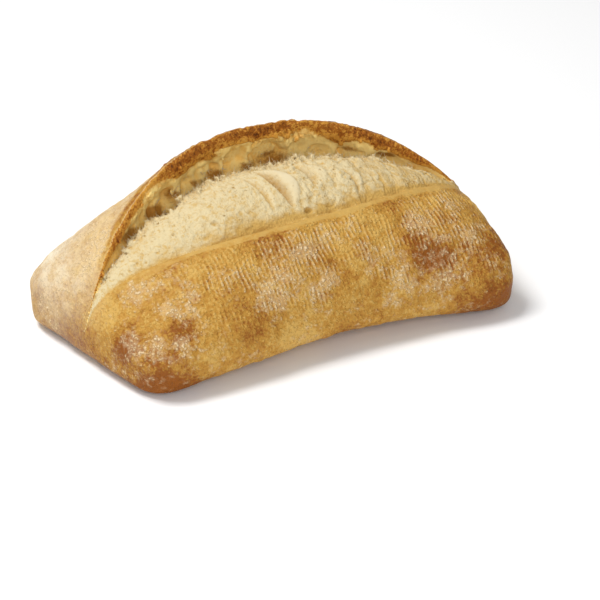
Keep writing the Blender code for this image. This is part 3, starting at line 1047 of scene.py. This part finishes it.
def crust_material(finish):
    """Golden crust with browner patches, a smooth lip, drifts of flour and painted shade in its
    hollows.
    """
    material, paint, shader, place, blotches = new_material("floury crust", 0.62, 0.14, 1.0)
    pebbles, _ = paint.group("Pebbles", pebbles_group, Place=place, Scale=820.0)
    ridge, hollow, lip = paint.mask("ridge"), paint.mask("hollow"), paint.mask("lip_band")
    rough = 1.0 - lip * 0.85
    specks = paint.noise(place, 850.0, 3.0, 0.8) - 0.42 - pebbles * 0.16
    baked = paint.mask("brown") + blotches * 1.7 + ridge.at_least(-0.3) * -0.14
    # Painted shade: the hollow mask darkens the crust where it lies below its surroundings.
    baked = baked + hollow * 0.9 + specks * (rough * 1.7)
    colour = paint.mix(paint.span(baked, -0.25, 0.3), finish.pale, finish.gold)
    colour = paint.mix(paint.span(baked, 0.2, 1.0), colour, finish.brown)
    mottled = paint.span(paint.noise(place, 170.0, 6.0, 0.8), 0.36, 0.62, 0.48, 0.98)
    pale = paint.mask("pale") * mottled
    colour = paint.mix(pale, colour, finish.back_pale)
    fine = paint.noise(place, 520.0, 4.0, 0.75)
    colour = paint.mix(lip * paint.span(fine, 0.38, 0.66, 1.0, 0.2), colour, finish.lip)
    dust, dust_node = paint.group("Flour dusting", dusting_group, Place=place, Pebbles=pebbles,
                                  Amount=paint.mask("flour") + ridge * 0.26 - lip)
    flour = dust * 0.9
    grain = paint.noise(place, 900.0, 4.0, 0.7) * 0.6
    grain = grain + Value(paint.tree, dust_node.outputs["Height"]) + pebbles * 0.6
    finished(paint, shader, grain * (1.0 - pale * 0.4) * rough, 0.0005,
             Base_Color=paint.mix(flour, colour, finish.flour),
             Roughness=paint.span(flour, 0.0, 0.6, 0.5, 0.9))
    return material


def crumb_material(finish):
    """Cream torn crumb, finely porous, with golden flecks, toasted patches and painted shade in
    its pores, hollows and creases.
    """
    material, paint, shader, place, blotches = new_material("torn crumb", 0.85, 0.06, 1.5)
    membrane, hollow = paint.mask("membrane"), paint.mask("hollow")
    calm = 1.0 - membrane
    # The toast also takes painted shade from the hollows.
    toast = paint.mask("toast") + blotches + hollow * 1.1 - membrane * 0.4
    colour = paint.mix(paint.span(toast, -0.1, 0.85), finish.cream, finish.toasted)
    flecks = paint.span(paint.noise(place, 480.0, 4.0, 0.75, 0.6), 0.48, 0.66)
    colour = paint.mix(flecks * (calm * 0.7), colour, finish.toasted)
    pores = paint.cells(place, 900.0)
    porous = paint.span(paint.noise(place, 260.0, 2.0), 0.48, 0.66)
    # Painted shade: dark dots in the pores of the finer cells.
    dark = (1.0 - paint.span(pores, 0.05, 0.4)) * calm * (porous * 0.5)
    colour = paint.mix(dark, colour, finish.pore_shade)
    # Painted shade in the sunk places and along the creases, in the pore colour.
    sunk_shade = paint.span(hollow, 0.2, 0.8, 0.0, 0.6) * calm
    colour = paint.mix(sunk_shade.at_least(paint.mask("crease") * 0.9), colour, finish.pore_shade)
    strands = paint.add("ShaderNodeMapping", {"vector_type": "POINT"}, Vector=place,
                        Scale=(1.0, 0.22, 0.5))
    lines = paint.noise(strands.outputs[0], 1100.0, 3.0, 0.7)
    finished(paint, shader, (pores * 0.5 + lines) * calm, 0.0007, 0.8,
             Base_Color=paint.mix(membrane * 0.75, colour, finish.membrane))
    return material


def ear_material(finish):
    """The ear: cream walls and golden hollows, whose deeper tone is painted shade, browning up
    to a dark cracked rim.
    """
    material, paint, shader, place, blotches = new_material("ear", 0.7, 0.12, 1.6)
    # The bright mask lightens the ear's face towards the right, as painted light.
    hollow, bright = paint.mask("hollow"), paint.mask("bright")
    fibres = paint.noise(place, 760.0, 4.0, 0.75, 0.5) - 0.5
    # Painted shade: the face turns tan in its hollows and stays light on the thin walls between.
    tan = blotches + hollow * 2.2 + fibres * 1.6 - bright * 0.5
    colour = paint.mix(paint.span(tan, -0.5, 0.7), finish.ear_light, finish.ear_tan)
    # Painted shade: the deepest places of the face take the deep colour.
    deep = paint.mask("deep") + blotches * 2.5 - bright
    colour = paint.mix(paint.span(deep, 2.2, 5.6, 0.0, 0.5), colour, finish.ear_deep_shade)
    ragged = paint.noise(place, 420.0, 3.0, 0.7) * 1.2
    # Painted shade of the tears along the crumb.
    torn = paint.span(paint.mask("root") + ragged, 0.85, 1.45, 0.0, 0.9)
    colour = paint.mix(torn, colour, finish.ear_root_shade)
    crags = paint.noise(place, 1050.0, 4.0, 0.75, 0.6)
    rim = paint.mask("rim") + blotches * 0.7
    colour = paint.mix(paint.span(rim, 0.12, 0.5), colour, finish.rim_light)
    # Painted shade: the hollow mask also darkens the rim towards brown and its darkest cracks.
    browned = rim + hollow * 0.9 + crags * paint.span(rim, 0.15, 0.5, 0.0, 3.4)
    colour = paint.mix(paint.span(browned, 2.15, 2.60), colour, finish.rim_brown)
    finished(paint, shader, crags * paint.span(rim, 0.15, 0.5, 0.5, 1.0), 0.0009,
             Base_Color=paint.mix(paint.span(browned, 2.70, 3.20), colour, finish.rim_dark),
             Roughness=paint.span(rim, 0.3, 0.9, 0.8, 0.5))
    return material


def colour_prop(name, description, value):
    """A colour that a user may change."""
    return bpy.props.FloatVectorProperty(name=name, description=description, subtype="COLOR",
                                         size=3, min=0.0, max=1.0, default=value)


def length_prop(name, description, value):
    """A length that a user may change."""
    return bpy.props.FloatProperty(name=name, description=description, default=value,
                                   unit="LENGTH", precision=5, min=0.00001)


def count_prop(name, description, value):
    """A number that a user may change."""
    return bpy.props.IntProperty(name=name, description=description, default=value, min=0)


class RollForm(bpy.types.PropertyGroup):
    """Sizes of the roll."""

    length: length_prop("Length", "Between the end faces", 0.160)
    cut_width: length_prop("Cut width", "From the lip to the rim of the ear", 0.0401)
    ear_height: length_prop("Ear height", "Of the rim over the lip", 0.0208)
    mound_height: length_prop("Mound height", "Of the crumb over the cut", 0.0078)
    cell: length_prop("Cell", "Finest detail that is carved", 0.00042)
    quick_cell: length_prop("Quick cell", "Finest detail in a quick look", 0.0008)


class CrustFinish(bpy.types.PropertyGroup):
    """Relief and colours of the crust and the ear."""

    ridge_spacing: length_prop("Ridge spacing", "Of the ridges round the roll", 0.0017)
    ridge_depth: length_prop("Ridge depth", "Of the ridges round the roll", 0.00014)
    rim_roughness: length_prop("Rim roughness", "Height of the rim's crags", 0.0011)
    pale: colour_prop("Pale crust", "Least baked crust", (0.63, 0.385, 0.100))
    gold: colour_prop("Golden crust", "Most of the crust", (0.495, 0.252, 0.042))
    brown: colour_prop("Brown crust", "Browned corners", (0.27, 0.084, 0.010))
    lip: colour_prop("Lip", "Smooth band along the cut", (0.54, 0.335, 0.092))
    back_pale: colour_prop("Pale back", "Floury crust behind the ear", (0.83, 0.73, 0.54))
    flour: colour_prop("Flour", "Dusted flour", (0.88, 0.67, 0.40))
    ear_light: colour_prop("Ear, light", "Thin walls of the hollows", (1.0, 0.76, 0.29))
    ear_tan: colour_prop("Ear, tan", "Face of the ear", (0.94, 0.61, 0.165))
    # Painted shade at the bottom of the ear's deepest places.
    ear_deep_shade: colour_prop("Ear, deep", "Bottom of the tear", (0.56, 0.27, 0.05))
    # Painted shade of the tears along the crumb.
    ear_root_shade: colour_prop("Ear, root", "Dark tears along the crumb", (0.36, 0.145, 0.014))
    rim_dark: colour_prop("Rim, dark", "Cracks of the rim", (0.15, 0.045, 0.008))
    rim_brown: colour_prop("Rim, brown", "Most of the rim", (0.41, 0.132, 0.014))
    rim_light: colour_prop("Rim, light", "Flakes of the rim", (0.70, 0.335, 0.052))


class CrumbFinish(bpy.types.PropertyGroup):
    """Colours of the crumb."""

    cream: colour_prop("Cream", "Fresh crumb", (0.69, 0.57, 0.335))
    toasted: colour_prop("Toasted", "Toasted patches", (0.58, 0.365, 0.105))
    membrane: colour_prop("Membrane", "Smooth tongues beside the folds", (0.74, 0.63, 0.415))
    # Painted shade inside the pores, in the sunk places and along the creases.
    pore_shade: colour_prop("Pore", "Inside of the pores", (0.38, 0.20, 0.048))
    edge_shreds: count_prop("Edge shreds", "Shreds along the torn edge", 2200)
    wall_shreds: count_prop("Wall shreds", "Shreds between the ear's bubbles", 350)
    fuzz: count_prop("Fuzz", "Short fuzz over the crumb", 1800)


class Studio(bpy.types.PropertyGroup):
    """Floor, light and camera."""

    floor_colour: colour_prop("Floor", "Pale floor", (0.97, 0.97, 0.97))
    azimuth: bpy.props.FloatProperty(name="Azimuth", description="Camera, towards the left end",
                                     default=math.radians(30.2), unit="ROTATION")
    elevation: bpy.props.FloatProperty(name="Elevation", description="Camera, above the table",
                                       default=math.radians(26.8), unit="ROTATION")
    distance: length_prop("Distance", "Camera to the roll", 0.90)


class BOLILLO_OT_crust(bpy.types.Operator):
    """Bake the crust: the front, the back and the sole"""

    bl_idname = "bolillo.add_crust"
    bl_label = "Crust"

    def execute(self, context):
        """Makes the crust's three pieces."""
        masks = crust_masks(baked_roll())
        material = crust_material(context.scene.bolillo_crust)
        for name, stretches, shares in (
                ("crust_front", ("front_foot", "front", "lip"), (0.0, 2.0)),
                ("ear_outside", ("back",), (0.0, 0.5)),
                ("crust_back", ("back",), (0.5, 2.0)),
                ("crust_back_foot", ("back_foot",), (0.0, 2.0)),
                ("crust_sole", ("sole",), (0.0, 2.0))):
            piece = carved_piece(name, stretches, masks, shares)
            piece.data.materials.append(material)
        return {"FINISHED"}


class BOLILLO_OT_crumb(bpy.types.Operator):
    """Tear open the crumb in the cut"""

    bl_idname = "bolillo.add_crumb"
    bl_label = "Crumb"

    def execute(self, context):
        """Makes the mound of crumb."""
        piece = carved_piece("crumb_mound", ("crumb",), crumb_masks(baked_roll()))
        piece.data.materials.append(crumb_material(context.scene.bolillo_crumb))
        return {"FINISHED"}


class BOLILLO_OT_shreds(bpy.types.Operator):
    """Pull shreds from the torn edge of the crumb"""

    bl_idname = "bolillo.add_shreds"
    bl_label = "Shreds"

    def execute(self, context):
        """Makes the shreds along the tear, and short fuzz over the crumb."""
        roll = baked_roll()
        finish = context.scene.bolillo_crumb
        random = np.random.default_rng(71)
        stretch, share, normals = roll["stretch"], roll["share"], roll["normals"]
        crumb = stretch == NAMES.index("crumb")
        crumb &= roll["points"][:, 0] < SHREDS_END
        torn = np.flatnonzero(crumb & (share > 0.60) & (share < 0.96))
        walls = np.flatnonzero((stretch == NAMES.index("inner")) & (share < 0.6)
                               & (roll["hollow"] < -0.15))
        soft = np.flatnonzero(crumb & (share > 0.1) & (share < 0.9))
        # Roots, how many, shortest, longest and width in millimetres, and how they lean.
        kinds = ((torn, finish.edge_shreds, 0.5, 1.7, 0.16, (0.0, 0.5, 0.6)),
                 (walls, finish.wall_shreds, 0.6, 1.8, 0.18, (0.0, -0.5, 0.2)),
                 (soft, finish.fuzz, 0.4, 1.0, 0.13, (0.0, 0.2, 0.0)))
        roots, leaning, lengths, widths = [], [], [], []
        for choice, count, shortest, longest, width, pull in kinds:
            picked = random.choice(choice, min(count, len(choice)), replace=False)
            lean = normals[picked] + np.array(pull) + random.normal(0.0, 0.45, (len(picked), 3))
            lean /= np.linalg.norm(lean, axis=1, keepdims=True)
            roots.append(roll["points"][picked] + roll["shift"] - normals[picked] * 0.15 * MM)
            leaning.append(lean)
            lengths.append(random.uniform(shortest, longest, len(picked)) * MM)
            widths.append(random.uniform(0.6, 1.3, len(picked)) * width * MM)
        points, quads = shred_points(*(np.concatenate(part) for part in
                                       (roots, leaning, lengths, widths)), random)
        masks = {"toast": np.full(len(points), -0.1), "membrane": np.full(len(points), 0.5)}
        piece = mesh_piece("crumb_shreds", points, quads, None, masks)
        piece.data.materials.append(bpy.data.materials["torn crumb"])
        return {"FINISHED"}


class BOLILLO_OT_ear(bpy.types.Operator):
    """Raise the ear, with its hollow face and its rim"""

    bl_idname = "bolillo.add_ear"
    bl_label = "Ear"

    def execute(self, context):
        """Makes the ear's face and rim."""
        piece = carved_piece("ear_face_and_rim", ("inner", "rim"), ear_masks(baked_roll()))
        piece.data.materials.append(ear_material(context.scene.bolillo_crust))
        return {"FINISHED"}


def area_light(name, place, size, power):
    """A soft square light aimed at the roll."""
    data = bpy.data.lights.new(name, "AREA")
    data.size = size
    data.energy = power
    lamp = bpy.data.objects.new(name, data)
    lamp.location = place
    aim_at(lamp, LIGHT_TARGET)


def aim_at(item, target):
    """Turns a light or a camera to a point, and puts it in the scene."""
    item.rotation_mode = "QUATERNION"
    item.rotation_quaternion = (Vector(target) - item.location).to_track_quat("-Z", "Y")
    bpy.context.scene.collection.objects.link(item)


class BOLILLO_OT_stage(bpy.types.Operator):
    """Set the floor, the light and the camera"""

    bl_idname = "bolillo.add_stage"
    bl_label = "Stage"

    def execute(self, context):
        """Makes the floor, the lights and the camera."""
        scene = context.scene
        studio = scene.bolillo_studio
        bpy.ops.mesh.primitive_plane_add(size=FLOOR_SIZE, location=(0.0, 0.0, CAD_LOW.z))
        floor = context.active_object
        floor.name = "floor"
        material = bpy.data.materials.new("pale floor")
        material.use_nodes = True
        shader = material.node_tree.nodes["Principled BSDF"]
        shader.inputs["Base Color"].default_value = (*studio.floor_colour, 1.0)
        shader.inputs["Roughness"].default_value = 0.9
        floor.data.materials.append(material)

        world = bpy.data.worlds.new("studio")
        scene.world = world
        world.use_nodes = True
        background = world.node_tree.nodes["Background"]
        background.inputs["Color"].default_value = (1.0, 1.0, 1.0, 1.0)
        background.inputs["Strength"].default_value = WORLD_STRENGTH
        for light in LIGHTS:
            area_light(*light)

        azimuth, elevation = studio.azimuth, studio.elevation
        right = Vector((math.cos(azimuth), -math.sin(azimuth), 0.0))
        back = Vector((-math.sin(azimuth) * math.cos(elevation),
                       -math.cos(azimuth) * math.cos(elevation), math.sin(elevation)))
        up = back.cross(right)
        target = Vector(baked_roll()["shift"]) + Vector((0.0, 0.0, TARGET_HEIGHT))
        aim = target + right * ((PICTURE_SIZE / 2 - TARGET_PIXEL[0]) / PIXELS_PER_METRE)
        aim -= up * ((PICTURE_SIZE / 2 - TARGET_PIXEL[1]) / PIXELS_PER_METRE)
        camera_data = bpy.data.cameras.new("camera")
        camera_data.sensor_width = SENSOR_WIDTH
        camera_data.lens = PIXELS_PER_METRE * studio.distance / PICTURE_SIZE * SENSOR_WIDTH
        camera = bpy.data.objects.new("camera", camera_data)
        camera.location = target + back * studio.distance
        aim_at(camera, aim)
        scene.camera = camera
        scene.view_settings.view_transform = "Standard"
        return {"FINISHED"}


class BOLILLO_PT_panel(bpy.types.Panel):
    """The roll's pieces and sizes"""

    bl_label = "Bolillo roll"
    bl_idname = "BOLILLO_PT_panel"
    bl_space_type = "VIEW_3D"
    bl_region_type = "UI"
    bl_category = "Bolillo"

    def draw(self, context):
        """Lists the operators and the sizes."""
        for operator in OPERATORS:
            self.layout.operator(operator.bl_idname)
        for owner, group in PROPERTY_OWNERS:
            settings = getattr(context.scene, owner)
            column = self.layout.column()
            for name in group.__annotations__:
                column.prop(settings, name)


OPERATORS = (BOLILLO_OT_crust, BOLILLO_OT_crumb, BOLILLO_OT_shreds, BOLILLO_OT_ear,
             BOLILLO_OT_stage)
PROPERTY_OWNERS = (
    ("bolillo_form", RollForm),
    ("bolillo_crust", CrustFinish),
    ("bolillo_crumb", CrumbFinish),
    ("bolillo_studio", Studio),
)
CLASSES = tuple(group for _, group in PROPERTY_OWNERS) + OPERATORS + (BOLILLO_PT_panel,)


def register():
    """Adds the classes and the scene's settings."""
    for item in CLASSES:
        bpy.utils.register_class(item)
    for owner, group in PROPERTY_OWNERS:
        setattr(bpy.types.Scene, owner, bpy.props.PointerProperty(type=group))


def unregister():
    """Takes them away again."""
    for owner, _ in PROPERTY_OWNERS:
        delattr(bpy.types.Scene, owner)
    for item in reversed(CLASSES):
        bpy.utils.unregister_class(item)


def main():
    """Makes every piece and the stage."""
    register()
    bpy.ops.bolillo.add_crust()
    bpy.ops.bolillo.add_crumb()
    bpy.ops.bolillo.add_shreds()
    bpy.ops.bolillo.add_ear()
    bpy.ops.bolillo.add_stage()


if __name__ == "__main__":
    main()
